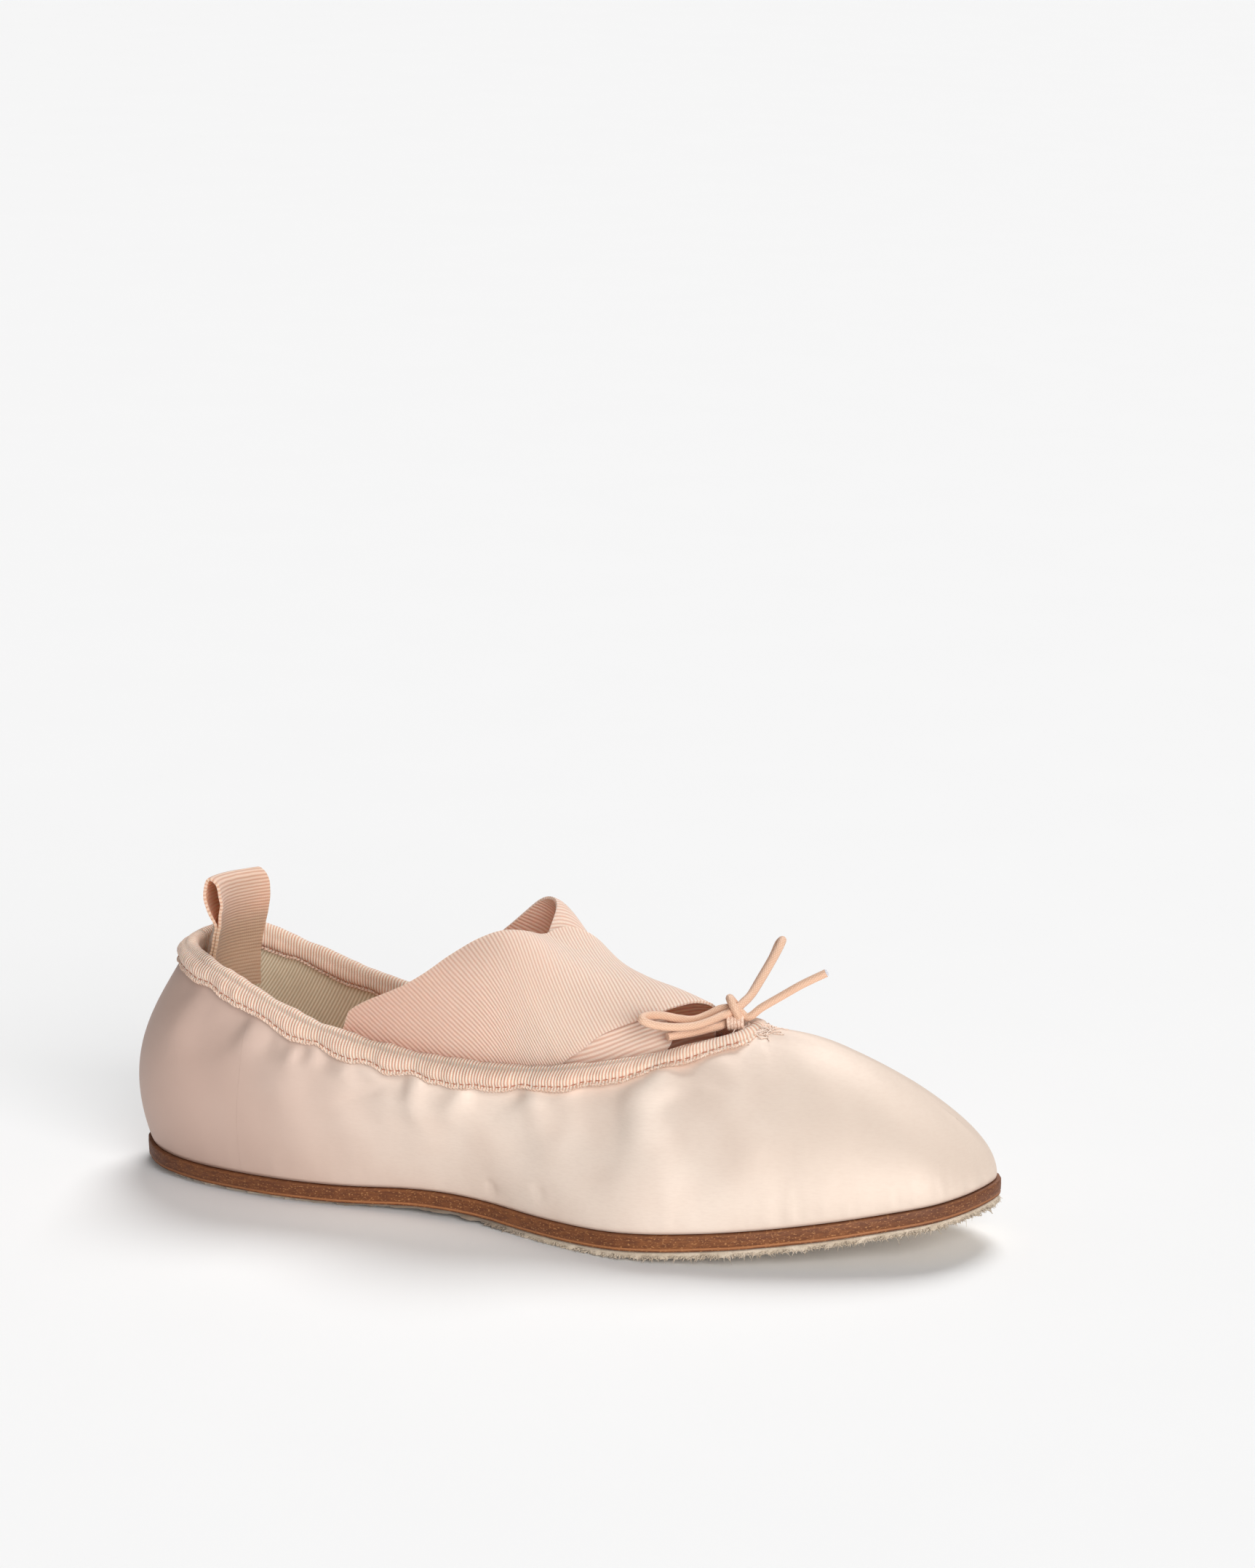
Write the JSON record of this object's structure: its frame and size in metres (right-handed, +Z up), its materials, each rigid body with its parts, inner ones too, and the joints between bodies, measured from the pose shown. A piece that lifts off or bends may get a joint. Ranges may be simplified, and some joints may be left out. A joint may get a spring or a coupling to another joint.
{
  "type": "ballet flat",
  "caption": "Right ballet flat with a satin upper, gathered collar binding, crossed elastic straps, heel pull loop, drawstring bow and a thin leather sole.",
  "frame": {"origin": "bottom centre of the shoe's bounding box without its bow, on the floor plane", "axes": "+X towards the toe, +Y towards the medial side, +Z up"},
  "size_m": [0.246, 0.079, 0.083],
  "materials": {
    "suede": "napped suede",
    "sole_leather": "burnished edge",
    "lining_leather": "plain",
    "satin": "satin",
    "tape": "ribbed",
    "elastic": "ribbed",
    "cord": "braided"
  },
  "bodies": {
    "root": {"suede_tread": "suede", "outsole": "sole_leather", "insole": "lining_leather", "upper": "satin", "collar_binding": "tape", "strap_over": "elastic", "strap_under": "elastic", "pull_loop": "tape", "bow_knot": "cord", "bow_loop_left": "cord", "bow_end_left": "cord", "bow_loop_right": "cord", "bow_end_right": "cord"}
  },
  "joints": []
}
